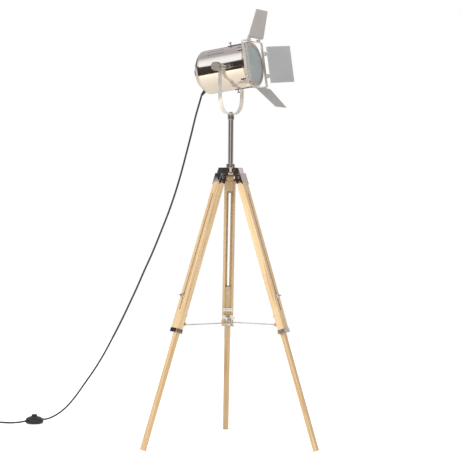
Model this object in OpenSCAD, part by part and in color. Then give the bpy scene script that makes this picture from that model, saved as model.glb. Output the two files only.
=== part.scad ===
// Tripod floor lamp: a polished spotlight head with four barn doors, carried in a tilting
// yoke on a wooden tripod whose legs fold and telescope. Millimetres, +Z up, feet on z = 0.
// The leg that points along +Y is the rear leg; the origin is the middle of the footprint.

/* [Tripod] */
// Angle between each leg and the vertical
leg_spread = 18.1; // [16:0.1:20]
// Distance of the leg hinges from the pole
hinge_r = 37; // [36:0.5:42]
// Height of the leg hinges
hinge_z = 857; // [820:1:900]
// Width of an upper leg, across the lamp
leg_w = 36; // [34:0.5:40]
// Thickness of an upper leg, towards the pole
leg_t = 21.5; // [20:0.5:24]
// Distance from the hinge to the bottom of an upper leg
leg_end = 516; // [500:1:540]
// Width of a lower leg
foot_w = 19; // [17:0.5:19.4]
// Thickness of a lower leg
foot_t = 13; // [11:0.5:13.4]
// Distance from the hinge to the top of a lower leg
foot_top = 377; // [360:1:390]

/* [Pole and yoke] */
// Radius of the pole
pole_r = 8.75; // [8:0.25:10]
// Top of the hub
hub_z = 888; // [886:1:892]
// Top of the pole, where the locking barrel starts
pole_top = 1040; // [1030:1:1050]
// Height of the tilt axis
pivot_z = 1205; // [1200:1:1212]
// Distance from the head's axis to the middle of each yoke arm
yoke_half = 82; // [81:0.5:88]
// Radius of the bends at the foot of the yoke
yoke_bend = 55; // [45:1:60]

/* [Head] */
// Direction of the head about the pole, from +X
head_pan = -27; // [-60:1:0]
// Angle of the head above the horizontal
head_tilt = 8.5; // [0:0.5:12]
// Outer radius of the tube
tube_r = 70; // [68:0.5:72]
// Wall of the tube
tube_wall = 1.5; // [1:0.1:2.5]
// Distance from the tilt axis to the back of the tube
tube_back = 108; // [100:1:115]
// Distance from the tilt axis to the front of the tube
tube_front = 73; // [70:1:76]
// Radius of the flat back plate
back_r = 43; // [40:0.5:48]

/* [Barn doors] */
// Half the side of the square door frame
door_frame = 73.5; // [73.5:0.5:76]
// Length of a door from its hinge
door_len = 98; // [80:1:105]
// Width of a door at its hinge
door_w = 118; // [100:1:118]
// Width of the top and bottom doors at their tips
door_tip = 84; // [60:1:118]
// Angle of the top door from the head's axis
door_top_angle = 68; // [20:1:100]
// Angle of the bottom door from the head's axis
door_bottom_angle = 52; // [20:1:80]
// Angle of the left door from the head's axis
door_left_angle = 59; // [20:1:100]
// Angle of the right door from the head's axis
door_right_angle = 65; // [20:1:100]

/* [Cord] */
// Diameter of the cord
cord_d = 6; // [5:0.5:7]
// Direction of the foot switch on the floor
switch_turn = 40; // [36:1:44]

/* [Hidden] */
LEGS = [["left", 210, -1], ["right", 330, 0], ["rear", 90, 1]]; // name, direction, stay level
LEG_NODES = ["leg_cap", "leg_fixings", "upper_leg", "leg_collar", "leg_strap", "stay_bracket",
             "lower_leg", "clamp_bolt", "leg_wing_nut", "stay"];
$fn = 64;

gap = 0.3;          // between faces that slide or turn past each other
run = 0.05;         // radial clearance of a pin in its bore
pole_y = -56;       // the pole stands this far in front of the middle of the footprint

// tripod
wood_top = 10;      // the shoulders of the wood, this far below the hinge
tenon_w = 22;       // the tongue of wood that stands between the hub's ears
tenon_r = 9;
cap_wall = 1.5;
cap_len = 19;       // the cap covers the leg down to here
ear_w = 4;
lug_w = tenon_w + 2 * (gap + ear_w);
lug_r = 8.5;
hinge_pin_r = 3;
cap_screw_s = 14;
channel_w = foot_w + 1;
channel_t = foot_t + 1.5;
channel_top = 44;
slot_w = 7;
slot_top = 58;
slot_bottom = 440;
clamp_s = 398;      // the clamp bolt crosses the leg this far below the hinge
clamp_r = 3;
collar_len = 13;
strap_s = 457;
strap_len = 13;
foot_x = -leg_t / 2 + 1 + foot_t / 2;  // middle of the lower leg across the channel
foot_end = (hinge_z + (foot_x - foot_t / 2) * sin(leg_spread)) / cos(leg_spread);
wood = "BurlyWood";
dark_wood = "Tan";
steel = "Silver";
nickel = "Gainsboro";
black = [0.12, 0.12, 0.13];

// spreader: three slotted stays that cross on one bolt
stay_s = 483;       // the stay's pin, down the leg and in from its middle
stay_in = 19;
stay_pin_r = 2;
stay_t = 2;
stay_w = 14;
stay_neck = 9.4;
stay_pitch = stay_t + 0.4;
stay_slot = 7.6;
stay_bolt_r = 3;
fold = 14;          // how far each leg folds in
function leg_r(s, x, turn = 0) = hinge_r + s * sin(leg_spread - turn) + x * cos(leg_spread - turn);
function leg_z(s, x, turn = 0) = hinge_z - s * cos(leg_spread - turn) + x * sin(leg_spread - turn);
stay_r = leg_r(stay_s, -stay_in);
stay_z = leg_z(stay_s, -stay_in);
stay_folded_r = leg_r(stay_s, -stay_in, fold);

// hub
hub_r = 24;
hub_floor = 871;
hub_bottom = 865;
pole_foot = 867;

// yoke
bar_w = 12;
bar_t = 4;
stud_r = 4;
barrel_top = pole_top + 18;
bar_z = barrel_top + gap;        // underside of the yoke's foot
yoke_eye = 9;

// head
tilt_r = 4;
shoulder = 22;
ring_r = door_frame - 2;
lip_r = 60.5;
ring_back = tube_front - 2;
ring_front = tube_front + 8;
glass_x = tube_front + 2.5;
frame_back = ring_front - 2;
frame_front = frame_back + 8;
frame_t = 1.6;
frame_round = 7;
door_hinge_x = frame_front + 3.5;
door_hinge_r = door_frame + 3.2;
door_pin_r = 1.5;
knuckle_r = 3;
knuckle_w = 8;
knuckle_y = 36;
ear_t = 2;
door_t = 1.4;
door_gap = 5.2;     // the sheet starts this far from the hinge's axis
door_strip = 12;    // the sheet is folded this far from the hinge
door_fold = 25;
gland_r = 5.5;
gland_lean = 50;
gland_at = [-93.8, -48.6];          // along the head's axis, and up
gland_len = 16;

// cord: points on its centre line, in the lamp's own frame
cord_sides = 8;
switch_at = [-658, 372, 0];
switch_r = 32;
switch_exit_z = 12;
coil_at = [-862, 432, 0];
coil_mid_r = 30;
coil_turns_across = 2;
coil_layers = 2;
plug_at = [-898, 503, 7];
drop_route = [
    [-100, -4, 1098], [-112, 10, 1055], [-125, 24, 1000], [-141, 37, 935], [-159, 54, 865],
    [-178, 71, 800], [-200, 91, 735], [-225, 115, 670], [-250, 139, 607], [-276, 163, 548],
    [-302, 186, 487], [-330, 211, 425], [-358, 236, 365], [-388, 263, 305], [-419, 291, 246],
    [-452, 319, 191], [-485, 348, 142], [-514, 374, 99], [-543, 400, 62], [-567, 421, 38],
    [-587, 432, 23], [-603, 428, 15], [-614, 414, 12]];
tail_route = [[-706, 338, 10], [-722, 341, 8], [-738, 351, 6], [-754, 365, 4.5],
    [-773, 379, 3.4], [-797, 391, 3.3], [-828, 398, 3.3], [-862, 399, 3.3]];
lead_route = [[-895, 432, 9.2], [-895, 448, 8.6], [-896.5, 464, 7.4]];

module at_pole() { translate([0, pole_y, 0]) children(); }

// a leg's own frame: X out, Y across the lamp, -Z down the leg from its hinge
module on_leg(leg) {
    at_pole() rotate([0, 0, leg[1]]) translate([hinge_r, 0, hinge_z])
        rotate([0, -leg_spread, 0]) children();
}

// a stay's own frame at rest: X out, Z up from the stay's pin
module on_stay(leg) {
    at_pole() rotate([0, 0, leg[1]]) translate([stay_r, 0, stay_z]) children();
}

module on_yoke() { at_pole() rotate([0, 0, head_pan]) children(); }

// the head's own frame: X along its axis, Y to its left, Z up, from the tilt axis
module on_head() {
    on_yoke() translate([0, 0, pivot_z]) rotate([0, -head_tilt, 0]) children();
}

function head_point(p) =
    let (x = p[0] * cos(head_tilt) - p[2] * sin(head_tilt),
         z = p[0] * sin(head_tilt) + p[2] * cos(head_tilt))
    [x * cos(head_pan) - p[1] * sin(head_pan),
     x * sin(head_pan) + p[1] * cos(head_pan) + pole_y,
     pivot_z + z];

module along_x(length, r, from = 0) {
    translate([from, 0, 0]) rotate([0, 90, 0]) cylinder(r = r, h = length);
}

module across(length, r) { rotate([90, 0, 0]) cylinder(r = r, h = length, center = true); }

module both_sides() {
    children();
    mirror([0, 1, 0]) children();
}

module chamfered(size, c) {
    x = size[0] / 2;
    y = size[1] / 2;
    polygon([[x - c, -y], [x, -y + c], [x, y - c], [x - c, y],
             [-x + c, y], [-x, y - c], [-x, -y + c], [-x + c, -y]]);
}

// ---- hub and pole ----

// the hub's arm over a leg's hinge: a block that ends in two ears beside the leg's tongue
module lug(leg) {
    function line(side, z) =
        leg_r(0, side) - (z - leg_z(0, side)) * tan(leg_spread);
    out = lug_r - 0.3;
    web_z = hinge_z + tenon_r + 1.5;
    rotate([0, 0, leg[1]]) rotate([90, 0, 0]) {
        linear_extrude(lug_w - 0.6, center = true)
            polygon([[12, web_z], [line(out - 0.3, web_z), web_z],
                     [line(out - 0.3, hub_z - 0.2), hub_z - 0.2], [12, hub_z - 0.2]]);
        for (side = [-1, 1]) translate([0, 0, side * (lug_w - ear_w) / 2])
            linear_extrude(ear_w, center = true) {
                translate([hinge_r, hinge_z]) circle(r = lug_r);
                polygon([[13, hub_z - 0.5], [line(out, hub_z - 0.5), hub_z - 0.5],
                         [leg_r(0, out), leg_z(0, out)], [hinge_r, hinge_z],
                         [leg_r(0, -out), leg_z(0, -out)], [14, hub_floor - 2.5],
                         [13, hub_floor - 2.2]]);
            }
    }
}

module hub() {
    color(steel) at_pole() difference() {
        union() {
            rotate_extrude() polygon([[0, hub_bottom], [19, hub_bottom], [22.5, hub_bottom + 1.5],
                                      [hub_r, hub_bottom + 5], [hub_r, hub_z], [0, hub_z]]);
            for (leg = LEGS) lug(leg);
        }
        translate([0, 0, hub_floor]) cylinder(r = 16, h = 30);
        translate([0, 0, pole_foot]) cylinder(r = pole_r, h = 30);
        for (leg = LEGS) {
            rotate([0, 0, leg[1]]) translate([hinge_r, 0, hinge_z])
                across(lug_w + 2, hinge_pin_r + run);
            rotate([0, 0, leg[1] + 180]) translate([14, 0, hub_z - 7.5]) along_x(30, 12);
        }
    }
}

module fluted(r, h, flutes) {
    difference() {
        cylinder(r = r, h = h);
        for (i = [0 : flutes - 1]) rotate([0, 0, i * 360 / flutes])
            translate([r + 1, 0, -1]) cylinder(r = 2.4, h = h + 2, $fn = 24);
    }
}

module hub_nut() {
    color(steel) at_pole() difference() {
        union() {
            translate([0, 0, hub_floor]) cylinder(r = 11, h = 16);
            translate([0, 0, hub_floor + 15]) fluted(14, 13.5, 10);
        }
        translate([0, 0, hub_floor - 1]) cylinder(r = pole_r, h = 40);
    }
}

module pole() {
    color(nickel) at_pole() {
        translate([0, 0, pole_foot]) cylinder(r = pole_r, h = pole_top - pole_foot);
        translate([0, 0, pole_top - 1]) cylinder(r = stud_r, h = bar_z + bar_t - pole_top + 2);
        translate([0, 0, bar_z + bar_t + gap]) cylinder(r = 6, h = 3.4);
    }
}

// ---- one leg, in its own frame ----

module cap_outline(r, length) {
    circle(r = r);
    translate([-r, -length]) square([2 * r, length]);
}

module leg_cap() {
    color(steel) difference() {
        union() {
            both_sides() translate([0, leg_w / 2 + cap_wall, 0]) rotate([90, 0, 0])
                linear_extrude(cap_wall) cap_outline(leg_t / 2, cap_len);
            translate([leg_t / 2, -leg_w / 2 - cap_wall, -cap_len])
                cube([cap_wall, leg_w + 2 * cap_wall, cap_len + 10]);
        }
        across(leg_w + 10, hinge_pin_r);
        translate([0, 0, -cap_screw_s]) across(leg_w + 10, 1.5);
    }
}

// screws through the metal into the wood; the same solids cut their holes
module cap_screws() {
    translate([0, 0, -cap_screw_s]) both_sides() translate([0, leg_w / 2 - 6, 0])
        rotate([-90, 0, 0]) {
            cylinder(r = 1.5, h = 6 + cap_wall);
            translate([0, 0, 6 + cap_wall]) cylinder(r = 3, h = 1.4);
        }
}

module back_screws(s, y) {
    translate([-leg_t / 2 - cap_wall, 0, -s]) both_sides() translate([0, y, 0]) {
        along_x(8, 1.3);
        along_x(1.4, 2.6, -1.4);
    }
}

module leg_fixings() {
    color(nickel) {
        across(leg_w + 2 * cap_wall, hinge_pin_r);
        both_sides() translate([0, leg_w / 2 + cap_wall + 0.8, 0]) across(1.6, 4.5);
        cap_screws();
        back_screws(strap_s, 13);
        back_screws(stay_s, 14);
        translate([-stay_in, 0, -stay_s]) across(17, stay_pin_r);
    }
}

module upper_leg() {
    color(wood) difference() {
        union() {
            translate([0, 0, -leg_end]) linear_extrude(leg_end - wood_top)
                chamfered([leg_t, leg_w], 0.8);
            rotate([90, 0, 0]) linear_extrude(tenon_w, center = true) {
                circle(r = tenon_r);
                translate([-tenon_r, -wood_top - 1]) square([2 * tenon_r, wood_top + 1]);
            }
        }
        across(leg_w, hinge_pin_r);
        translate([-leg_t / 2 - 1, -channel_w / 2, -leg_end - 1])
            cube([channel_t + 1, channel_w, leg_end - channel_top + 1]);
        translate([-leg_t, -slot_w / 2, -slot_bottom])
            cube([2 * leg_t, slot_w, slot_bottom - slot_top]);
        for (s = [slot_top, slot_bottom]) translate([0, 0, -s])
            along_x(2 * leg_t, slot_w / 2, -leg_t);
        cap_screws();
        back_screws(strap_s, 13);
        back_screws(stay_s, 14);
    }
}

module leg_collar() {
    color(steel) translate([0, 0, -leg_end]) linear_extrude(collar_len) difference() {
        chamfered([leg_t + 2 * cap_wall, leg_w + 2 * cap_wall], 1.2);
        square([leg_t, leg_w], center = true);
    }
}

module leg_strap() {
    color(nickel) difference() {
        translate([-leg_t / 2 - cap_wall, -16, -strap_s - strap_len / 2])
            cube([cap_wall, 32, strap_len]);
        back_screws(strap_s, 13);
    }
}

module stay_bracket() {
    ear_in = stay_in - leg_t / 2;
    color(steel) difference() {
        union() {
            translate([-leg_t / 2 - cap_wall, -leg_w / 2, -stay_s - 7])
                cube([cap_wall, leg_w, 14]);
            both_sides() translate([-stay_in, 7, -stay_s]) rotate([90, 0, 0])
                linear_extrude(2) {
                    circle(r = 5);
                    translate([0, -5]) square([ear_in - 0.5, 10]);
                }
        }
        translate([-stay_in, 0, -stay_s]) across(30, stay_pin_r);
        back_screws(stay_s, 14);
    }
}

module lower_leg() {
    color(dark_wood) difference() {
        translate([foot_x, 0, -foot_end]) linear_extrude(foot_end - foot_top)
            chamfered([foot_t, foot_w], 0.6);
        translate([0, 0, -clamp_s]) {
            along_x(foot_t + 2, clamp_r, foot_x - foot_t / 2 - 1);
            along_x(2.8 + 1, 7, foot_x - foot_t / 2 - 1);
        }
    }
}

module clamp_bolt() {
    inside = foot_x - foot_t / 2;
    color(nickel) translate([0, 0, -clamp_s]) {
        along_x(2.8, 7, inside);
        along_x(leg_t / 2 + 11.5 - inside - 2, clamp_r, inside + 2);
    }
}

// wings of a wing nut that stands along X: each leans out from the hub
module wings(span, rise, t) {
    for (turn = [0, 180]) rotate([turn, 0, 0]) rotate([90, 0, 0])
        linear_extrude(t, center = true)
            polygon([[0, 0], [rise * 0.5, 0], [rise, span - 3], [rise, span],
                     [rise * 0.55, span], [0, 4]]);
}

module leg_wing_nut() {
    start = leg_t / 2 + gap;
    color(steel) translate([start, 0, -clamp_s]) difference() {
        union() {
            along_x(1.2, 7);
            along_x(7, 5);
            translate([1, 0, 0]) rotate([90, 0, 0]) wings(12, 9, 2.4);
        }
        along_x(20, clamp_r + run, -1);
    }
}

// ---- spreader ----

module stay(leg) {
    tip = stay_r + 12;
    far = stay_r + 0.6;
    near = stay_folded_r - 0.6;
    color(nickel) difference() {
        union() {
            across(stay_neck, 4);
            translate([-18, -stay_neck / 2, leg[2] * stay_pitch - stay_t / 2])
                cube([18, stay_neck, stay_t]);
            translate([0, 0, leg[2] * stay_pitch - stay_t / 2]) {
                translate([-tip + stay_w / 2, -stay_w / 2, 0])
                    cube([tip - stay_w / 2 - 16, stay_w, stay_t]);
                translate([-tip + stay_w / 2, 0, 0]) cylinder(r = stay_w / 2, h = stay_t);
            }
        }
        across(stay_neck + 2, stay_pin_r + run);
        translate([-far, -stay_slot / 2, -10]) cube([far - near, stay_slot, 20]);
        for (x = [far, near]) translate([-x, 0, -10]) cylinder(r = stay_slot / 2, h = 20);
    }
}

module upright_wings(span, rise, t) {
    rotate([0, -90, 0]) wings(span, rise, t);
}

module stay_bolt() {
    under = -stay_pitch - stay_t / 2 - gap;
    color(steel) at_pole() translate([0, 0, stay_z + under]) {
        translate([0, 0, -1.5]) cylinder(r = 9, h = 1.5);
        translate([0, 0, -6]) cylinder(r = 5.5, h = 4.6);
        cylinder(r = stay_bolt_r, h = -2 * under + 9);
        translate([0, 0, -2]) rotate([0, 0, 8]) mirror([0, 0, 1]) upright_wings(15, 9, 2.6);
    }
}

module stay_wing_nut() {
    over = stay_pitch + stay_t / 2 + gap;
    color(steel) at_pole() translate([0, 0, stay_z + over]) difference() {
        union() {
            cylinder(r = 9, h = 1.5);
            cylinder(r = 6, h = 8);
            translate([0, 0, 1]) rotate([0, 0, -10]) upright_wings(18, 12, 2.8);
        }
        translate([0, 0, -1]) cylinder(r = stay_bolt_r + run, h = 40);
    }
}

// ---- yoke ----

module pan_barrel() {
    color(steel) at_pole() translate([0, 0, pole_top + gap]) difference() {
        fluted(10.5, barrel_top - pole_top - gap, 8);
        translate([0, 0, -1]) cylinder(r = stud_r + run, h = 30);
    }
}

module yoke() {
    bend_z = bar_z + bar_t / 2 + yoke_bend;
    flat = yoke_half - yoke_bend;
    color(nickel) on_yoke() difference() {
        union() {
            translate([-bar_w / 2, -flat, bar_z]) cube([bar_w, 2 * flat, bar_t]);
            translate([0, 0, bar_z]) cylinder(r = 10.5, h = bar_t);
            both_sides() {
                translate([0, flat, bend_z]) rotate([90, 0, 90]) rotate([0, 0, -90])
                    rotate_extrude(angle = 90) translate([yoke_bend - bar_t / 2, -bar_w / 2])
                        square([bar_t, bar_w]);
                translate([-bar_w / 2, yoke_half - bar_t / 2, bend_z])
                    cube([bar_w, bar_t, pivot_z - bend_z]);
                translate([0, yoke_half, pivot_z]) across(bar_t, yoke_eye);
            }
        }
        translate([0, 0, bar_z - 1]) cylinder(r = stud_r + run, h = bar_t + 2);
        translate([0, 0, pivot_z]) across(2 * yoke_half + 20, tilt_r + run);
    }
}

module tilt_bolts() {
    color(steel) on_head() both_sides() {
        boss = yoke_half - bar_t / 2 - gap - tube_r;
        translate([0, tube_r + boss / 2 - 0.4, 0]) across(boss + 0.8, 9);
        translate([0, tube_r + 15, 0]) across(40, tilt_r);
    }
}

module tilt_knob() {
    start = yoke_half + bar_t / 2 + gap;
    color(steel) translate([0, start, 0]) rotate([-90, 0, 0]) difference() {
        union() {
            cylinder(r = 7, h = 15);
            translate([0, 0, 14]) fluted(14, 23, 8);
        }
        translate([0, 0, -1]) cylinder(r = tilt_r + run, h = 23);
    }
}

// ---- head ----

module vents(r) {
    for (side = [-1, 1], row = [34, 48], i = [0 : 7]) rotate([side * row, 0, 0])
        translate([-54 + 7.5 * i + (row > 40 ? 3 : 0), 0, r]) cube([5, 2.6, 12], center = true);
}

function tube_line(off) =
    let (r = tube_r - off, b = back_r - off, x = -tube_back + off * 0.8)
    [[b, x], [b + 9, x + 4.5], [b + 17, x + 10], [r - 4, x + 15.5], [r - 1, x + shoulder - 2],
     [r, x + shoulder + 4], [r, tube_front]];

module head_tube() {
    outside = tube_line(0);
    inside = tube_line(tube_wall);
    color(nickel) on_head() difference() {
        rotate([0, 90, 0]) rotate_extrude($fn = 96)
            polygon(concat(outside, [for (i = [len(inside) - 1 : -1 : 0]) inside[i]]));
        vents(tube_r);
        both_sides() translate([0, tube_r, 0]) across(30, tilt_r);
        both_sides() translate([0, tube_r + 15, 0]) across(30 + 1.6, 9);
        translate([gland_at[0], 0, gland_at[1]]) rotate([0, 180 + gland_lean, 0])
            translate([0, 0, -20]) cylinder(r = gland_r, h = 60);
    }
}

module back_plate() {
    color(nickel) on_head() {
        along_x(2.5, back_r + 0.8, -tube_back - 2.5);
        along_x(1.5, 9, -tube_back - 4);
    }
}

module front_ring() {
    color(nickel) on_head() rotate([0, 90, 0]) rotate_extrude($fn = 96)
        polygon([[tube_r + 0.1, ring_back], [ring_r, ring_back], [ring_r, ring_front - 1.5],
                 [ring_r - 1.5, ring_front], [lip_r, ring_front],
                 [lip_r, ring_front - 2], [glass_r() + 0.2, ring_front - 2],
                 [glass_r() + 0.2, tube_front + 0.1], [tube_r + 0.1, tube_front + 0.1]]);
}

function glass_r() = tube_r - 4;

module glass() {
    color("LightCyan") on_head() along_x(ring_front - 2 - glass_x, glass_r(), glass_x);
}

module lamp_holder() {
    color("White") on_head() difference() {
        union() {
            along_x(tube_back - 70, 7, -tube_back);
            along_x(44, 20, -72);
        }
        along_x(50, 14, -66);
    }
}

module bulb() {
    color("Ivory") on_head() {
        along_x(40, 13.2, -66);
        rotate([0, 90, 0]) rotate_extrude()
            polygon([[0, -30], [13, -30], [15, -20], [28, -2], [30, 10], [27, 22],
                     [18, 33], [0, 38]]);
    }
}

module rounded_square(half, r) {
    for (x = [-1, 1], y = [-1, 1]) translate([x * (half - r), y * (half - r)]) circle(r = r);
    square([2 * half, 2 * (half - r)], center = true);
    square([2 * (half - r), 2 * half], center = true);
}

// the places of the four door hinges, turned about the head's axis from the top
module on_door_side(turn) {
    rotate([turn, 0, 0]) translate([door_hinge_x, 0, door_hinge_r]) children();
}

module door_frame_ears() {
    inner = knuckle_w / 2 + gap;
    for (y = [-knuckle_y, knuckle_y], side = [-1, 1])
        translate([-5.5, y + side * (inner + ear_t / 2) - ear_t / 2, -4.5])
            cube([8.5, ear_t, 7.5]);
}

module door_frame() {
    color(steel) on_head() difference() {
        union() {
            translate([frame_back, 0, 0]) rotate([90, 0, 90])
                linear_extrude(frame_front - frame_back) difference() {
                    rounded_square(door_frame, frame_round);
                    rounded_square(door_frame - frame_t, frame_round - frame_t);
                }
            for (turn = [0 : 90 : 270]) on_door_side(turn) door_frame_ears();
        }
        for (turn = [0 : 90 : 270]) on_door_side(turn) across(2 * knuckle_y + 30, door_pin_r);
    }
}

module door_pins() {
    length = knuckle_w + 2 * (gap + ear_t) + 0.6;
    color(nickel) on_head() for (turn = [0 : 90 : 270], y = [-knuckle_y, knuckle_y])
        on_door_side(turn) translate([0, y, 0]) across(length, door_pin_r);
}

// a door in its hinge's frame: X forward, Z away from the head's axis
module door(angle, tip) {
    long = door_len - door_strip;
    h = door_t / 2;
    k = h * tan(door_fold / 2);
    end = [door_strip + long * cos(door_fold), long * sin(door_fold)];
    lean = [h * sin(door_fold), -h * cos(door_fold)];
    color("LightGray") rotate([0, -angle + door_fold, 0]) difference() {
        union() {
            intersection() {
                rotate([90, 0, 0]) linear_extrude(door_w + 20, center = true)
                    polygon([[door_gap, -h], [door_strip + k, -h], end + lean, end - lean,
                             [door_strip - k, h], [door_gap, h]]);
                translate([0, 0, -20]) linear_extrude(100)
                    polygon([[0, -door_w / 2], [end[0] + 2, -tip / 2], [end[0] + 2, tip / 2],
                             [0, door_w / 2]]);
            }
            for (y = [-knuckle_y, knuckle_y]) translate([0, y, 0]) {
                across(knuckle_w, knuckle_r);
                translate([0, -knuckle_w / 2, -h]) cube([door_gap + 1, knuckle_w, door_t]);
            }
        }
        across(2 * knuckle_y + 30, door_pin_r + run);
    }
}

// a latch lies along the tube and hooks over the front ring
module latch(back, screw_top) {
    translate([back, -6, tube_r + 0.05]) cube([ring_back - 1 - back, 12, 1.9]);
    translate([ring_back - 9, -6, ring_r + 0.1]) cube([17, 12, 1.5]);
    translate([back + 9, 0, tube_r + 1.5]) cylinder(r = 2.2, h = screw_top - 3);
    translate([back + 9, 0, tube_r + screw_top - 2]) cylinder(r = 5, h = 3);
}

module ring_lug() {
    translate([ring_back - 18, -5, tube_r + 0.2]) cube([17, 10, 5]);
    translate([ring_back - 10, 0, tube_r + 5]) cylinder(r = 3.4, h = 2.6);
}

module ring_latches() {
    color(steel) on_head() {
        for (turn = [12, 180]) rotate([turn, 0, 0]) latch(6, 11);
        for (turn = [90, 270]) rotate([turn, 0, 0]) latch(22, 7);
        for (turn = [45 : 90 : 315]) rotate([turn, 0, 0]) ring_lug();
    }
}

module cord_gland() {
    color(black) on_head() translate([gland_at[0], 0, gland_at[1]])
        rotate([0, 180 + gland_lean, 0]) {
            translate([0, 0, -4]) cylinder(r = gland_r, h = gland_len + 4);
            translate([0, 0, 11.4]) cylinder(r = gland_r + 1.6, h = 2.6);
        }
}

// ---- cord, foot switch and plug ----

function catmull(a, b, c, d, t) =
    0.5 * (2 * b + (c - a) * t + (2 * a - 5 * b + 4 * c - d) * t * t
           + (3 * b - a - 3 * c + d) * t * t * t);

// a smooth line through the points, with `steps` stretches between each two
function smooth(p, steps) =
    let (last = len(p) - 1)
    concat([for (i = [0 : last - 1], k = [0 : steps - 1])
        catmull(p[max(i - 1, 0)], p[i], p[i + 1], p[min(i + 2, last)], k / steps)], [p[last]]);

function unit(v) = v / norm(v);
function flat_off(v, t) = unit(v - t * (v * t));

function tangent(p, i) = unit(p[min(i + 1, len(p) - 1)] - p[max(i - 1, 0)]);

// one side direction for each ring, each turned no more than the line turns
function sides(p, i, v) =
    let (n = flat_off(v, tangent(p, i)))
    i == len(p) - 1 ? [n] : concat([n], sides(p, i + 1, n));

module swept(points, r, steps) {
    p = smooth(points, steps);
    side = sides(p, 0, [0.3, 1, 0.2]);
    n = cord_sides;
    rings = [for (i = [0 : len(p) - 1])
        let (t = tangent(p, i), u = side[i], w = cross(t, u))
        for (k = [0 : n - 1]) p[i] + r * (u * cos(360 * k / n) + w * sin(360 * k / n))];
    walls = [for (i = [0 : len(p) - 2], k = [0 : n - 1])
        [(i + 1) * n + k, (i + 1) * n + (k + 1) % n, i * n + (k + 1) % n, i * n + k]];
    first = [for (k = [0 : n - 1]) k];
    last = [for (k = [n - 1 : -1 : 0]) (len(p) - 1) * n + k];
    polyhedron(rings, concat([first], walls, [last]));
}

switch_dir = [cos(switch_turn), sin(switch_turn), 0];
gland_dir = head_point([-sin(gland_lean), 0, -cos(gland_lean)]) - head_point([0, 0, 0]);
gland_end = head_point([gland_at[0] - (gland_len + 0.8) * sin(gland_lean), 0,
                        gland_at[1] - (gland_len + 0.8) * cos(gland_lean)]);
switch_in = switch_at + switch_dir * (switch_r + 5.2) + [0, 0, switch_exit_z];
switch_out = switch_at - switch_dir * (switch_r + 5.2) + [0, 0, switch_exit_z];
plug_in = plug_at - [0, 22.2, 0];

module cord_drop() {
    color(black) swept(concat([gland_end, gland_end + 12 * gland_dir], drop_route,
                              [switch_in + 8 * switch_dir, switch_in]), cord_d / 2, 2);
}

module cord_tail() {
    color(black) {
        swept(concat([switch_out, switch_out - 8 * switch_dir], tail_route), cord_d / 2, 2);
        swept(concat(lead_route, [plug_in - [0, 6, 0], plug_in]), cord_d / 2, 2);
    }
}

module cord_coil() {
    half = coil_turns_across * cord_d / 2;
    color(black) translate(coil_at) rotate_extrude()
        translate([coil_mid_r - half, 0.2]) square([2 * half, coil_layers * cord_d]);
}

module foot_switch() {
    color(black) translate(switch_at) difference() {
        union() {
            rotate_extrude() polygon([[0, 0], [30, 0], [switch_r, 2], [switch_r, 8],
                [30.5, 14], [27, 20], [21, 24.5], [14, 26.5], [0, 27]]);
            rotate([0, 0, switch_turn]) translate([0, 0, switch_exit_z])
                along_x(2 * (switch_r + 5), 5, -switch_r - 5);
        }
        translate([0, 0, 20]) cylinder(r = 10.4, h = 20);
    }
}

module switch_button() {
    color(black) translate(switch_at) {
        translate([0, 0, 24.2]) cylinder(r = 10, h = 7);
        translate([0, 0, 31.2]) cylinder(r = 8.6, h = 1.6);
    }
}

module plug() {
    color(black) translate(plug_at) rotate([0, 0, -90]) {
        along_x(8, 4.2, 14);
        rotate([0, -90, 0]) linear_extrude(17) chamfered([13.6, 26], 4);
        rotate([0, 90, 0]) linear_extrude(14.5) chamfered([12, 20], 4);
        for (y = [-9.5, 9.5]) translate([0, y, 0]) along_x(18.5, 2, -35);
    }
}

// ---- the lamp ----

for (leg = LEGS) {
    on_leg(leg) leg_cap();
    on_leg(leg) leg_fixings();
    on_leg(leg) upper_leg();
    on_leg(leg) leg_collar();
    on_leg(leg) leg_strap();
    on_leg(leg) stay_bracket();
    on_leg(leg) lower_leg();
    on_leg(leg) clamp_bolt();
    on_leg(leg) leg_wing_nut();
    on_stay(leg) stay(leg);
}
hub();
hub_nut();
pole();
stay_bolt();
stay_wing_nut();
pan_barrel();
yoke();
head_tube();
back_plate();
front_ring();
glass();
lamp_holder();
bulb();
door_frame();
door_pins();
ring_latches();
cord_gland();
tilt_bolts();
on_head() tilt_knob();  // tilt_knob_left
on_head() mirror([0, 1, 0]) tilt_knob();  // tilt_knob_right
on_head() on_door_side(0) door(door_top_angle, door_tip);  // door_top
on_head() on_door_side(180) door(door_bottom_angle, door_tip);  // door_bottom
on_head() on_door_side(-90) door(door_left_angle, door_w);  // door_left
on_head() on_door_side(90) door(door_right_angle, door_w);  // door_right
foot_switch();
switch_button();
cord_drop();
cord_tail();
cord_coil();
plug();
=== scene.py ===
import math

import bmesh
import bpy
from mathutils import Matrix, Vector


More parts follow.
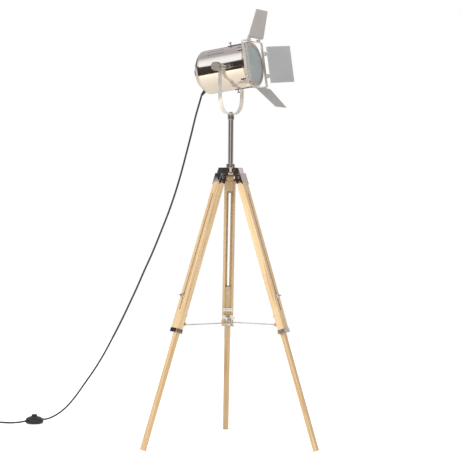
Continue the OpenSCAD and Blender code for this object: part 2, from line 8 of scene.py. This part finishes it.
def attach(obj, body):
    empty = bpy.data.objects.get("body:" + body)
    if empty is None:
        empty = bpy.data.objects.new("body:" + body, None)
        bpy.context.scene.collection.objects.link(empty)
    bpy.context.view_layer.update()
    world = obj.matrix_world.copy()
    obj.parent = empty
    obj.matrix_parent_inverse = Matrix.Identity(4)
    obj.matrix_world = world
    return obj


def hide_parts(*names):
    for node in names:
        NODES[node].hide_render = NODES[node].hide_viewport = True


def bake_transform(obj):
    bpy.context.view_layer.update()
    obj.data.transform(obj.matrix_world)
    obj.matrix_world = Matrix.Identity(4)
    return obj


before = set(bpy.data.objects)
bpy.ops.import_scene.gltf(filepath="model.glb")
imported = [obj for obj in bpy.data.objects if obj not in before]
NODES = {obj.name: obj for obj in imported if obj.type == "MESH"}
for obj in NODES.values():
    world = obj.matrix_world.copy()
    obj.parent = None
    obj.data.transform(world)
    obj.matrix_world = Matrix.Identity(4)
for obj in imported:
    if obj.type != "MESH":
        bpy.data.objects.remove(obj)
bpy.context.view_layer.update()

SCENE = bpy.context.scene

# lengths in metres, angles in degrees unless a name says otherwise
LEGS = (("left", 210), ("right", 330), ("rear", 90))
LEG_SPREAD = math.radians(18.1)
HINGE_R, HINGE_Z = 0.037, 0.857
POLE = Vector((0, -0.056, 0))
PIVOT = Vector((0, -0.056, 1.205))
HEAD_PAN, HEAD_TILT = math.radians(-27), math.radians(8.5)


# ---- places ----

def leg_frame(azimuth):
    """A leg's own frame: X out, Y across the lamp, -Z down the leg from its hinge."""
    return (Matrix.Translation(POLE) @ Matrix.Rotation(math.radians(azimuth), 4, "Z")
            @ Matrix.Translation((HINGE_R, 0, HINGE_Z)) @ Matrix.Rotation(-LEG_SPREAD, 4, "Y"))


HEAD_FRAME = (Matrix.Translation(PIVOT) @ Matrix.Rotation(HEAD_PAN, 4, "Z")
              @ Matrix.Rotation(-HEAD_TILT, 4, "Y"))


# ---- camera ----

camera = bpy.data.objects.new("camera", bpy.data.cameras.new("camera"))
SCENE.collection.objects.link(camera)
camera.data.sensor_width = 36
camera.data.lens = 134.3
camera.data.clip_start, camera.data.clip_end = 0.1, 60
CAMERA_AWAY, CAMERA_UP = 5.5, 0.855       # from the pole, from the floor
CAMERA_TURN, CAMERA_DOWN, CAMERA_ROLL = (math.radians(a) for a in (-1.71, 1.74, 0.49))
camera.matrix_world = (
    Matrix.Translation((CAMERA_AWAY * math.sin(CAMERA_TURN),
                        POLE.y - CAMERA_AWAY * math.cos(CAMERA_TURN), CAMERA_UP))
    @ Matrix.Rotation(CAMERA_TURN, 4, "Z") @ Matrix.Rotation(math.pi / 2 - CAMERA_DOWN, 4, "X")
    @ Matrix.Rotation(CAMERA_ROLL, 4, "Z"))
SCENE.camera = camera
SCENE.view_settings.view_transform = "Standard"
SCENE.view_settings.look = "None"


# ---- mesh helpers ----

def mesh_object(name, bm, mat, smooth):
    """An object of the bmesh's faces; smooth says of a face whether it is shaded smooth."""
    bmesh.ops.recalc_face_normals(bm, faces=bm.faces)
    mesh = bpy.data.meshes.new(name)
    bm.to_mesh(mesh)
    bm.free()
    for face in mesh.polygons:
        face.use_smooth = smooth(face)
    mesh.materials.append(mat)
    obj = bpy.data.objects.new(name, mesh)
    SCENE.collection.objects.link(obj)
    return obj


def mesh_from(name, bm, where, body, mat, smooth=True):
    bm.transform(where)
    obj = mesh_object(name, bm, mat, lambda face: smooth)
    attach(obj, body)
    return obj


def lathe(bm, profile, sides=48, where=Matrix()):
    """Turns (radius, height) points about Z; ends at radius 0 close."""
    rings = []
    for r, z in profile:
        if r < 1e-6:
            rings.append([bm.verts.new(where @ Vector((0, 0, z)))])
        else:
            rings.append([bm.verts.new(where @ Vector((r * math.cos(a), r * math.sin(a), z)))
                          for a in (2 * math.pi * k / sides for k in range(sides))])
    for lo, hi in zip(rings, rings[1:]):
        for k in range(sides):
            a, b = lo[k % len(lo)], lo[(k + 1) % len(lo)]
            c, d = hi[(k + 1) % len(hi)], hi[k % len(hi)]
            face = [v for i, v in enumerate((a, b, c, d)) if v not in (a, b, c, d)[:i]]
            if len(face) > 2:
                bm.faces.new(face)


def rounded(points, radius, steps=3):
    """The profile with its inner corners rounded."""
    out = [points[0]]
    for a, b, c in zip(points, points[1:], points[2:]):
        a, b, c = Vector(a), Vector(b), Vector(c)
        u, w = a - b, c - b
        r = min(radius, u.length * 0.45, w.length * 0.45)
        p, q = b + u.normalized() * r, b + w.normalized() * r
        for k in range(steps + 1):
            t = k / steps
            out.append(tuple(p * (1 - t) ** 2 + b * 2 * t * (1 - t) + q * t * t))
    out.append(points[-1])
    return out


def smooth_line(points, steps):
    out = []
    last = len(points) - 1
    for i in range(last):
        a, b, c, d = (Vector(points[j]) for j in (max(i - 1, 0), i, i + 1, min(i + 2, last)))
        for k in range(steps):
            t = k / steps
            out.append(0.5 * (2 * b + (c - a) * t + (2 * a - 5 * b + 4 * c - d) * t * t
                              + (3 * b - a - 3 * c + d) * t ** 3))
    return out + [Vector(points[last])]


# ---- materials ----

MIX_A, MIX_B, MIX_RESULT = 6, 7, 2      # the colour sockets of a Mix node


class Nodes:
    """A node tree, with a short form for each node that the looks are made of."""

    def __init__(self, tree):
        self.tree = tree

    def add(self, kind, **values):
        node = self.tree.nodes.new(kind)
        for key, value in values.items():
            if key in node.inputs:
                node.inputs[key].default_value = value
            else:
                setattr(node, key, value)
        return node

    def feed(self, value, socket):
        """Gives a socket another node's output or a plain value."""
        if isinstance(value, bpy.types.NodeSocket):
            self.tree.links.new(value, socket)
        else:
            socket.default_value = value

    def place(self):
        return self.add("ShaderNodeTexCoord").outputs["Object"]

    def mapped(self, place, **values):
        node = self.add("ShaderNodeMapping", **values)
        self.feed(place, node.inputs["Vector"])
        return node.outputs["Vector"]

    def noise(self, place, **values):
        node = self.add("ShaderNodeTexNoise", **values)
        self.feed(place, node.inputs["Vector"])
        return node.outputs["Fac"]

    def ramp(self, value, *stops):
        """The colour of a value between (position, colour) stops."""
        node = self.add("ShaderNodeValToRGB")
        elements = node.color_ramp.elements
        while len(elements) < len(stops):
            elements.new(0.5)
        for element, (position, colour) in zip(elements, stops):
            element.position = position
            element.color = (*colour, 1)
        self.feed(value, node.inputs["Fac"])
        return node.outputs["Color"]

    def spread(self, value, low, high, to_low=0, to_high=1, kind="LINEAR"):
        """The value, with low to high brought to to_low to to_high."""
        node = self.add("ShaderNodeMapRange", interpolation_type=kind)
        for key, number in (("From Min", low), ("From Max", high),
                            ("To Min", to_low), ("To Max", to_high)):
            node.inputs[key].default_value = number
        self.feed(value, node.inputs["Value"])
        return node.outputs[0]

    def mix(self, factor, a, b, blend="MIX"):
        node = self.add("ShaderNodeMix", data_type="RGBA", blend_type=blend)
        self.feed(factor, node.inputs["Factor"])
        self.feed(a, node.inputs[MIX_A])
        self.feed(b, node.inputs[MIX_B])
        return node.outputs[MIX_RESULT]

    def bump(self, height, strength, distance, over=None):
        """The normal of a relief, laid over another relief's normal if there is one."""
        node = self.add("ShaderNodeBump", Strength=strength, Distance=distance)
        self.feed(height, node.inputs["Height"])
        if over is not None:
            self.feed(over, node.inputs["Normal"])
        return node.outputs["Normal"]


def material(name):
    mat = bpy.data.materials.new(name)
    mat.use_nodes = True
    return mat, Nodes(mat.node_tree)


def dressed(mat, nodes, looks):
    """The material, with the looks fed into its shader."""
    shader = nodes.tree.nodes["Principled BSDF"]
    for key, value in looks.items():
        nodes.feed(value, shader.inputs[key])
    return mat


def grey(v):
    return (v, v, v)


def shade(colour, amount):
    return tuple(c * amount for c in colour)


def metal(name, colour, rough, wave_scale, wear=0.04, waves=0.02, grain=0.02, metallic=1):
    """Plated metal: a few soft smudges in the gloss, a faint waviness, small marks."""
    mat, nodes = material(name)
    place = nodes.place()
    smudge = nodes.noise(place, Scale=22, Detail=5, Roughness=0.6)
    marks = nodes.noise(place, Scale=420, Detail=2)
    swell = nodes.bump(nodes.noise(place, Scale=wave_scale, Detail=1), waves, 0.01)
    return dressed(mat, nodes, {
        "Base Color": nodes.ramp(smudge, (0.3, shade(colour, 0.93)), (0.65, colour)),
        "Roughness": nodes.ramp(smudge, (0.35, grey(max(rough - wear, 0.02))),
                                (0.7, grey(rough + wear))),
        "Normal": nodes.bump(marks, grain, 0.0004, swell),
        "Metallic": metallic})


def brushed(name, colour, own_frame, rough):
    """Sheet steel with a fine grain along X of the given frame."""
    mat, nodes = material(name)
    place = nodes.place()
    turned = nodes.mapped(place, vector_type="TEXTURE", Rotation=own_frame.to_euler())
    stretched = nodes.mapped(turned, vector_type="POINT", Scale=(3, 160, 160))
    grain = nodes.noise(stretched, Scale=9, Detail=6, Roughness=0.7)
    cloud = nodes.noise(place, Scale=14, Detail=3)
    return dressed(mat, nodes, {
        "Base Color": nodes.ramp(grain, (0.3, shade(colour, 0.86)), (0.7, shade(colour, 1.06))),
        "Roughness": nodes.ramp(cloud, (0.3, grey(rough - 0.06)), (0.75, grey(rough + 0.1))),
        "Normal": nodes.bump(grain, 0.16, 0.0006),
        "Metallic": 0.55})


def wood(name, own_frame, light, dark, seed):
    """Straight-grained lacquered wood whose grain runs along Z of the given frame."""
    mat, nodes = material(name)
    turned = nodes.mapped(nodes.place(), vector_type="TEXTURE", Rotation=own_frame.to_euler(),
                          Location=(seed * 0.37, seed * 0.21, seed * 0.11))

    def field(squeeze, size, detail, distortion=0.0):
        return nodes.noise(nodes.mapped(turned, vector_type="POINT", Scale=squeeze),
                           Scale=size, Detail=detail, Distortion=distortion)

    rings = field((30, 30, 1.2), 3.2, 3, 0.4)
    fibres = field((40, 40, 0.7), 4, 3)
    patches = field((6, 6, 1.5), 3, 2)
    between = tuple(a * 0.55 + b * 0.45 for a, b in zip(light, dark))
    lines = nodes.ramp(rings, (0.30, dark), (0.44, light), (0.56, light), (0.66, between),
                       (0.8, light))
    threads = nodes.ramp(fibres, (0.38, grey(0.84)), (0.60, grey(1.0)))
    broad = nodes.ramp(patches, (0.3, (0.93, 0.90, 0.88)), (0.7, (1.04, 1.03, 1.0)))
    return dressed(mat, nodes, {
        "Base Color": nodes.mix(1, nodes.mix(1, lines, threads, "MULTIPLY"), broad, "MULTIPLY"),
        "Roughness": nodes.ramp(fibres, (0.3, grey(0.34)), (0.7, grey(0.5))),
        "Normal": nodes.bump(fibres, 0.08, 0.0003),
        "Coat Weight": 0.25,
        "Coat Roughness": 0.25})


def plastic(name, colour, rough, grain=0.15, scale=900):
    """Moulded plastic or glazed ceramic with a fine grain."""
    mat, nodes = material(name)
    place = nodes.place()
    cloud = nodes.noise(place, Scale=30, Detail=3)
    pores = nodes.noise(place, Scale=scale, Detail=2)
    return dressed(mat, nodes, {
        "Base Color": nodes.ramp(cloud, (0.3, shade(colour, 0.82)), (0.7, colour)),
        "Roughness": nodes.ramp(cloud, (0.3, grey(rough - 0.06)), (0.7, grey(rough + 0.08))),
        "Normal": nodes.bump(pores, grain, 0.0003)})


def frosted_glass():
    mat, nodes = material("glass")
    place = nodes.place()
    cloud = nodes.noise(place, Scale=16, Detail=3)
    frost = nodes.noise(place, Scale=700, Detail=4)
    return dressed(mat, nodes, {
        "Base Color": nodes.ramp(cloud, (0.3, (0.53, 0.61, 0.59)), (0.7, (0.61, 0.67, 0.65))),
        "Normal": nodes.bump(frost, 0.3, 0.0004),
        "Roughness": 0.38,
        "Transmission Weight": 0.35,
        "IOR": 1.5})


def bulb_glass():
    mat, nodes = material("bulb_glass")
    cloud = nodes.noise(nodes.place(), Scale=40, Detail=3)
    return dressed(mat, nodes, {
        "Base Color": nodes.ramp(cloud, (0.3, (0.82, 0.81, 0.77)), (0.7, (0.90, 0.89, 0.86))),
        "Roughness": 0.25})


NICKEL = metal("nickel", (0.84, 0.81, 0.78), rough=0.08, wear=0.02,
               waves=0.003, wave_scale=5, grain=0.004)
POLE_NICKEL = metal("pole_nickel", (0.80, 0.77, 0.76), rough=0.13, wear=0.02,
                    waves=0, wave_scale=5, grain=0)
RING = metal("ring", (0.56, 0.51, 0.45), rough=0.24, waves=0.01, wave_scale=20, grain=0.01)
SATIN = metal("satin", (0.92, 0.90, 0.86), rough=0.36, wear=0.05,
              waves=0.01, wave_scale=12, grain=0.01, metallic=0.7)
KNOB = metal("knob", (0.42, 0.38, 0.34), rough=0.38, waves=0.01, wave_scale=40, metallic=0.6)
STEEL = metal("steel", (0.64, 0.62, 0.61), rough=0.14, waves=0.015, wave_scale=50)
DARK_STEEL = metal("dark_steel", (0.62, 0.59, 0.57), rough=0.13, wave_scale=40)
BRIGHT = metal("bright", (0.86, 0.85, 0.83), rough=0.2, wear=0.05, waves=0.03, wave_scale=90)
BLACK = plastic("black", (0.022, 0.022, 0.024), rough=0.34)
CORD = plastic("cord", (0.034, 0.034, 0.037), rough=0.55, grain=0.2, scale=1400)
CERAMIC = plastic("ceramic", (0.80, 0.80, 0.78), rough=0.2, grain=0.02, scale=60)
GLASS = frosted_glass()
BULB = bulb_glass()
# the rear leg's wood is a darker copy of the same wood: painted shade
LEG_PAINTED_SHADE = {"left": 1.0, "right": 1.0, "rear": 0.78}


def leg_wood(name, light, dark, seed):
    """One wood for each leg, with the grain along the leg; the rear leg's copy is darker, as painted
    shade.
    """
    return {leg: wood(name + "_" + leg, leg_frame(azimuth), shade(light, LEG_PAINTED_SHADE[leg]),
                      shade(dark, LEG_PAINTED_SHADE[leg]), seed + i)
            for i, (leg, azimuth) in enumerate(LEGS)}


WOOD = leg_wood("wood", (0.80, 0.595, 0.345), (0.62, 0.41, 0.21), 1)
WOOD_INNER = leg_wood("wood_inner", (0.76, 0.54, 0.29), (0.57, 0.36, 0.17), 5)
DOOR_TURN = {"top": 0, "bottom": 180, "left": -90, "right": 90}
DOOR_STEEL = (0.56, 0.545, 0.52)
# the left door is a lighter, cooler copy of the same steel: painted light
DOOR_COLOUR_AND_LIGHT = {"top": DOOR_STEEL, "bottom": DOOR_STEEL, "left": (0.74, 0.75, 0.75),
               "right": DOOR_STEEL}
DOOR_ROUGH = 0.36
DOORS = {d: brushed("door_" + d, DOOR_COLOUR_AND_LIGHT[d],
                    HEAD_FRAME @ Matrix.Rotation(math.radians(t), 4, "X"), DOOR_ROUGH)
         for d, t in DOOR_TURN.items()}


# ---- paint and edges ----

def paint(node, mat):
    obj = NODES[node]
    if not obj.material_slots:
        obj.data.materials.append(mat)
    for s in obj.material_slots:
        s.material = mat


for mat, nodes in (
        (NICKEL, ("hub", "head_tube", "back_plate")),
        (POLE_NICKEL, ("pole",)),
        (STEEL, ("hub_nut", "pan_barrel", "ring_latches", "tilt_bolts")),
        (SATIN, ("yoke", "door_frame")),
        (KNOB, ("tilt_knob_left", "tilt_knob_right")),
        (RING, ("front_ring",)),
        (BRIGHT, ("stay_wing_nut", "stay_bolt", "door_pins")),
        (GLASS, ("glass",)),
        (BULB, ("bulb",)),
        (CERAMIC, ("lamp_holder",)),
        (BLACK, ("foot_switch", "switch_button", "plug", "cord_gland"))):
    for node in nodes:
        paint(node, mat)
for leg, _ in LEGS:
    for kind, mat in (("leg_cap", DARK_STEEL), ("leg_fixings", BRIGHT), ("leg_collar", DARK_STEEL),
                      ("leg_strap", BRIGHT), ("stay_bracket", BRIGHT), ("clamp_bolt", DARK_STEEL),
                      ("leg_wing_nut", BRIGHT), ("stay", BRIGHT), ("upper_leg", WOOD[leg]),
                      ("lower_leg", WOOD_INNER[leg])):
        paint(kind + "_" + leg, mat)
for d, mat in DOORS.items():
    paint("door_" + d, mat)


EDGE_ANGLE = math.radians(32)
SAME_POINT = 1e-6


def soften(node, width):
    """Rounds a CAD node's edges so that they catch the light."""
    obj = NODES[node]
    weld = obj.modifiers.new("weld", "WELD")
    weld.merge_threshold = SAME_POINT
    bevel = obj.modifiers.new("bevel", "BEVEL")
    bevel.width, bevel.segments = width, 2
    bevel.limit_method, bevel.angle_limit = "ANGLE", EDGE_ANGLE


for node, width in (
        ("hub", 0.0006), ("hub_nut", 0.0005), ("pan_barrel", 0.0006), ("back_plate", 0.0006),
        ("front_ring", 0.0005), ("door_frame", 0.0004), ("switch_button", 0.0018),
        ("plug", 0.0010), ("tilt_knob_left", 0.0008), ("tilt_knob_right", 0.0008),
        ("stay_wing_nut", 0.0006), ("stay_bolt", 0.0005), ("tilt_bolts", 0.0004),
        ("yoke", 0.0005)):
    soften(node, width)
for leg, _ in LEGS:
    for kind, width in (("leg_cap", 0.0008), ("leg_collar", 0.0005), ("leg_wing_nut", 0.0006),
                        ("leg_strap", 0.0003), ("stay", 0.0004), ("stay_bracket", 0.0004),
                        ("leg_fixings", 0.0003), ("upper_leg", 0.0008), ("lower_leg", 0.0008)):
        soften(kind + "_" + leg, width)


# ---- cord: the same route as the CAD ----

CORD_R = 0.003
SWITCH = Vector((-0.658, 0.372, 0))
SWITCH_TURN = math.radians(40)
SWITCH_DIR = Vector((math.cos(SWITCH_TURN), math.sin(SWITCH_TURN), 0))
SWITCH_EXIT = Vector((0, 0, 0.012))
SLEEVE_END = 0.0372       # from the switch's middle to the end of each of its sleeves
SWITCH_STRAIGHT = 0.008   # the cord runs straight for this length at the switch
GLAND_STRAIGHT = 0.012    # and for this one at the gland
GLAND_LEAN = 50           # from straight down, backwards
CORD_START = 0.0168       # from the gland's foot to the cord's first point
GLAND = (HEAD_FRAME @ Matrix.Translation((-0.0938, 0, -0.0486))
         @ Matrix.Rotation(math.radians(180 + GLAND_LEAN), 4, "Y"))
gland_end = GLAND @ Vector((0, 0, CORD_START))
gland_dir = (GLAND.to_3x3() @ Vector((0, 0, 1))).normalized()
DROP = [(-0.100, -0.004, 1.098), (-0.112, 0.010, 1.055), (-0.125, 0.024, 1.000),
        (-0.141, 0.037, 0.935), (-0.159, 0.054, 0.865), (-0.178, 0.071, 0.800),
        (-0.200, 0.091, 0.735), (-0.225, 0.115, 0.670), (-0.250, 0.139, 0.607),
        (-0.276, 0.163, 0.548), (-0.302, 0.186, 0.487), (-0.330, 0.211, 0.425),
        (-0.358, 0.236, 0.365), (-0.388, 0.263, 0.305), (-0.419, 0.291, 0.246),
        (-0.452, 0.319, 0.191), (-0.485, 0.348, 0.142), (-0.514, 0.374, 0.099),
        (-0.543, 0.400, 0.062), (-0.567, 0.421, 0.038), (-0.587, 0.432, 0.023),
        (-0.603, 0.428, 0.015), (-0.614, 0.414, 0.012)]
TAIL = [(-0.706, 0.338, 0.010), (-0.722, 0.341, 0.008), (-0.738, 0.351, 0.006),
        (-0.754, 0.365, 0.0045), (-0.773, 0.379, 0.0034), (-0.797, 0.391, 0.0033),
        (-0.828, 0.398, 0.0033)]
COIL = Vector((-0.862, 0.432, 0))
LEAD = [(-0.895, 0.440, 0.0092), (-0.895, 0.448, 0.0086), (-0.8965, 0.464, 0.0074)]
PLUG = Vector((-0.898, 0.503, 0.007))
PLUG_END, PLUG_NEAR = 0.0222, 0.0282      # from the plug to the cord's last two points
switch_in = SWITCH + SWITCH_DIR * SLEEVE_END + SWITCH_EXIT
switch_out = SWITCH - SWITCH_DIR * SLEEVE_END + SWITCH_EXIT
DROP_STEPS, TAIL_STEPS = 4, 3
SPLIT = 5                 # cord_1 ends and cord_2 starts at this point of DROP


def coil_points():
    """The coil's turns: an outer one, an inner one, and above them back out again."""
    def ease(a, b, t):
        t = min(max((t - a) / (b - a), 0), 1)
        return t * t * (3 - 2 * t)

    outer, inner = 0.0330, 0.0270
    low, high = 0.0032, 0.00925
    whole, steps = 1170, 52
    out = []
    for k in range(steps + 1):
        turned = whole * k / steps
        r = outer - (outer - inner) * (ease(285, 355, turned) - ease(855, 925, turned))
        z = low + (high - low) * ease(560, 640, turned)
        a = math.radians(-90 - turned)
        out.append(COIL + Vector((r * math.cos(a), r * math.sin(a), z)))
    return out


def tube(bm, points, radius, sides=14):
    """A closed tube round the points; its rings turn no more than the line does."""
    points = [Vector(p) for p in points]
    side = Vector((0.3, 1, 0.2))
    rings = []
    for i, p in enumerate(points):
        t = (points[min(i + 1, len(points) - 1)] - points[max(i - 1, 0)]).normalized()
        side = (side - t * side.dot(t)).normalized()
        across = t.cross(side)
        rings.append([bm.verts.new(p + (side * math.cos(a) + across * math.sin(a)) * radius)
                      for a in (2 * math.pi * k / sides for k in range(sides))])
    for lo, hi in zip(rings, rings[1:]):
        for k in range(sides):
            bm.faces.new((lo[k], lo[(k + 1) % sides], hi[(k + 1) % sides], hi[k]))
    bm.faces.new(rings[0][::-1])
    bm.faces.new(rings[-1])


def cord_piece(name, points, body=None):
    bm = bmesh.new()
    tube(bm, points, CORD_R)
    obj = mesh_object(name, bm, CORD, lambda face: len(face.vertices) == 4)
    if body:
        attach(obj, body)
    return obj


drop = smooth_line([gland_end, gland_end + gland_dir * GLAND_STRAIGHT, *DROP,
                    switch_in + SWITCH_DIR * SWITCH_STRAIGHT, switch_in], DROP_STEPS)
split = (SPLIT + 2) * DROP_STEPS
upper, lower = drop[: split + 1], drop[split:]
tail = smooth_line([switch_out, switch_out - SWITCH_DIR * SWITCH_STRAIGHT, *TAIL], TAIL_STEPS)[:-1]
tail = tail + coil_points() + smooth_line(
    [*LEAD, PLUG - Vector((0, PLUG_NEAR, 0)), PLUG - Vector((0, PLUG_END, 0))], TAIL_STEPS)
cord_1 = cord_piece("cord_1", upper)
cord_2 = cord_piece("cord_2", lower)
cord_3 = cord_piece("cord_3", tail, "stand")
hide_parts("cord_drop")
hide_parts("cord_drop")
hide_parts("cord_tail", "cord_coil")
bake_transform(cord_1)
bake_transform(cord_2)


# ---- foot switch, cord relief and coil tie ----

def switch_body():
    """A low dome with a well for the button, and a ribbed cord sleeve on two sides."""
    dome = [(0, 0.0003), (0.0215, 0.0003), (0.0290, 0.0030), (0.0318, 0.0090), (0.0311, 0.0118),
            (0.0303, 0.0122), (0.0303, 0.0130), (0.0306, 0.0134), (0.0286, 0.0182),
            (0.0235, 0.0224), (0.0170, 0.0250), (0.0122, 0.0258), (0.0116, 0.0266),
            (0.0106, 0.0266), (0.0103, 0.0255), (0.0103, 0.0204), (0, 0.0204)]
    sleeve = [(0.0052, 0.020), (0.0052, 0.0315), (0.0044, 0.0322), (0.0044, 0.0329),
              (0.0049, 0.0332), (0.0049, 0.0340), (0.0040, 0.0344), (0.0040, 0.0352),
              (0.0044, 0.0356), (0.0042, 0.0370), (0.0029, 0.0370)]
    bm = bmesh.new()
    lathe(bm, rounded(dome, 0.0016), 64)
    for way in (0, 180):
        lathe(bm, sleeve, 24,
              Matrix.Translation(SWITCH_EXIT) @ Matrix.Rotation(math.radians(way), 4, "Z")
              @ Matrix.Rotation(math.radians(90), 4, "Y"))
    return mesh_from("foot_switch_body", bm,
                     Matrix.Translation(SWITCH) @ Matrix.Rotation(SWITCH_TURN, 4, "Z"),
                     "stand", BLACK)


def cord_relief():
    """A sleeve with a collar and five ribs, each narrower than the one before."""
    first_rib, rib_pitch, rib_r, taper = 0.0150, 0.0027, 0.0056, 0.00035
    sleeve = [(0, -0.004), (0.0055, -0.004), (0.0055, 0.0108), (0.0071, 0.0112), (0.0071, 0.0136),
              (0.0058, 0.0142)]
    for k in range(5):
        z, r = first_rib + rib_pitch * k, rib_r - taper * k
        sleeve += [(r, z), (r - 0.0001, z + 0.0015), (r - 0.0008, z + 0.0018),
                   (r - 0.0008, z + 0.0024)]
    sleeve += [(0.0038, 0.0290), (0.0036, 0.0300), (0.0029, 0.0302), (0, 0.0302)]
    bm = bmesh.new()
    lathe(bm, sleeve, 32)
    return mesh_from("cord_relief", bm, GLAND, "head", BLACK)


def coil_tie():
    """A band with round corners, held close round the coil's turns."""
    middle_r, middle_z, corner = 0.0300, 0.0063, 0.0031
    bm = bmesh.new()
    loops = []
    for grow, along in ((0.0001, -0.0022), (0.0011, -0.0018), (0.0011, 0.0018), (0.0001, 0.0022)):
        loop = []
        for way_x, way_z, start in ((1, 1, 0), (-1, 1, 90), (-1, -1, 180), (1, -1, 270)):
            grow_z = grow if way_z > 0 else grow * 0.2
            for k in range(4):
                a = math.radians(start + 30 * k)
                loop.append(bm.verts.new((
                    middle_r + way_x * corner + (corner + grow) * math.cos(a), along,
                    middle_z + way_z * corner + (corner + grow_z) * math.sin(a))))
        loops.append(loop)
    for lo, hi in zip(loops, loops[1:] + loops[:1]):
        for k in range(len(lo)):
            bm.faces.new((lo[k], lo[(k + 1) % len(lo)], hi[(k + 1) % len(lo)], hi[k]))
    mesh_from("coil_tie", bm, Matrix.Translation(COIL) @ Matrix.Rotation(math.radians(-150), 4, "Z"),
              "stand", BLACK, smooth=False)


switch = switch_body()
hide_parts("foot_switch")
relief = cord_relief()
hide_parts("cord_gland")
coil_tie()


# ---- stage ----

FLOOR_R = 3.6


def floor_material():
    """White and faintly bright of itself; tan where the metal mirrors it."""
    mat, nodes = material("floor")
    ray = nodes.add("ShaderNodeLightPath")
    return dressed(mat, nodes, {
        "Base Color": nodes.mix(ray.outputs["Is Glossy Ray"], (0.98, 0.975, 0.97, 1),
                                (0.78, 0.69, 0.55, 1)),
        "Emission Color": (1, 0.98, 0.95, 1),
        "Emission Strength": nodes.spread(ray.outputs["Is Camera Ray"], 0, 1, 0.22, 0.60),
        "Roughness": 0.9,
        "Specular IOR Level": 0.1})


def round_floor():
    mesh = bpy.data.meshes.new("floor")
    bm = bmesh.new()
    bmesh.ops.create_circle(bm, cap_ends=True, segments=96, radius=FLOOR_R)
    bm.to_mesh(mesh)
    bm.free()
    mesh.materials.append(floor_material())
    obj = bpy.data.objects.new("floor", mesh)
    SCENE.collection.objects.link(obj)
    return obj


def mirrored_room(nodes):
    """What the metal mirrors: bands of dark and light by height, and bright upright strips."""
    where = nodes.add("ShaderNodeTexCoord")
    way = nodes.add("ShaderNodeSeparateXYZ")
    nodes.feed(where.outputs["Generated"], way.inputs[0])
    across, depth, up = (way.outputs[axis] for axis in "XYZ")
    height = nodes.spread(up, -1, 1)
    front = nodes.ramp(
        height, (0.0, (0.86, 0.80, 0.72)), (0.325, (0.92, 0.86, 0.76)),
        (0.35, (0.050, 0.036, 0.030)), (0.67, (0.070, 0.052, 0.046)), (0.70, (1.15, 1.15, 1.15)),
        (0.88, (1.1, 1.1, 1.1)), (0.915, (0.42, 0.35, 0.33)), (1.0, (0.48, 0.41, 0.39)))
    back = nodes.ramp(
        height, (0.0, (0.80, 0.74, 0.68)), (0.50, (0.72, 0.68, 0.66)), (0.62, (0.40, 0.37, 0.38)),
        (0.80, (0.60, 0.57, 0.58)), (1.0, (0.42, 0.38, 0.40)))
    wall_band = nodes.ramp(height, (0.54, grey(0.1)), (0.59, grey(1)), (0.70, grey(1)),
                           (0.76, grey(0)))
    brighter_right = nodes.spread(across, -0.45, 0.45, 0.15, 1.6)
    back = nodes.mix(wall_band, back, brighter_right, "MULTIPLY")
    behind = nodes.spread(depth, -0.35, 0.25, kind="SMOOTHSTEP")
    room = nodes.mix(behind, front, back)
    strips = nodes.ramp(
        nodes.spread(across, -1, 1), (0.14, grey(0)), (0.22, grey(0.55)), (0.31, grey(0.95)),
        (0.42, grey(0.8)), (0.46, grey(0)), (0.58, grey(0)), (0.62, grey(0.5)), (0.72, grey(0.5)),
        (0.76, grey(0)))
    panels = nodes.add("ShaderNodeMath", operation="MULTIPLY")
    nodes.feed(strips, panels.inputs[0])
    nodes.feed(nodes.spread(depth, -0.65, -0.80, kind="SMOOTHSTEP"), panels.inputs[1])
    return nodes.mix(panels.outputs[0], room, (0.95, 0.92, 0.89, 1))


def studio_world():
    """White to the camera, an even grey as light, and a room to the metal."""
    world = bpy.data.worlds.new("studio")
    world.use_nodes = True
    nodes = Nodes(world.node_tree)
    nodes.tree.nodes.clear()
    ray = nodes.add("ShaderNodeLightPath")
    even = nodes.mix(ray.outputs["Is Camera Ray"], (0.66, 0.66, 0.68, 1), (1, 1, 1, 1))
    seen = nodes.mix(ray.outputs["Is Glossy Ray"], even, mirrored_room(nodes))
    background = nodes.add("ShaderNodeBackground", Strength=1.0)
    nodes.feed(seen, background.inputs["Color"])
    out = nodes.add("ShaderNodeOutputWorld")
    nodes.feed(background.outputs[0], out.inputs["Surface"])
    return world


def area(name, place, target, size, power, colour):
    """A square light that neither the camera nor the metal sees."""
    data = bpy.data.lights.new(name, "AREA")
    data.shape, data.size = "SQUARE", size
    data.energy, data.color = power, colour
    obj = bpy.data.objects.new(name, data)
    SCENE.collection.objects.link(obj)
    obj.location = place
    obj.rotation_euler = (Vector(target) - Vector(place)).to_track_quat("-Z", "Y").to_euler()
    obj.visible_camera = False
    obj.visible_glossy = False


floor = round_floor()
SCENE.world = studio_world()
area("key", (-2.6, -2.9, 2.4), (0, 0, 0.7), 1.8, 105, (1, 0.985, 0.96))
area("fill", (2.8, -2.4, 1.6), (0, 0, 0.8), 1.6, 6, (0.95, 0.97, 1))
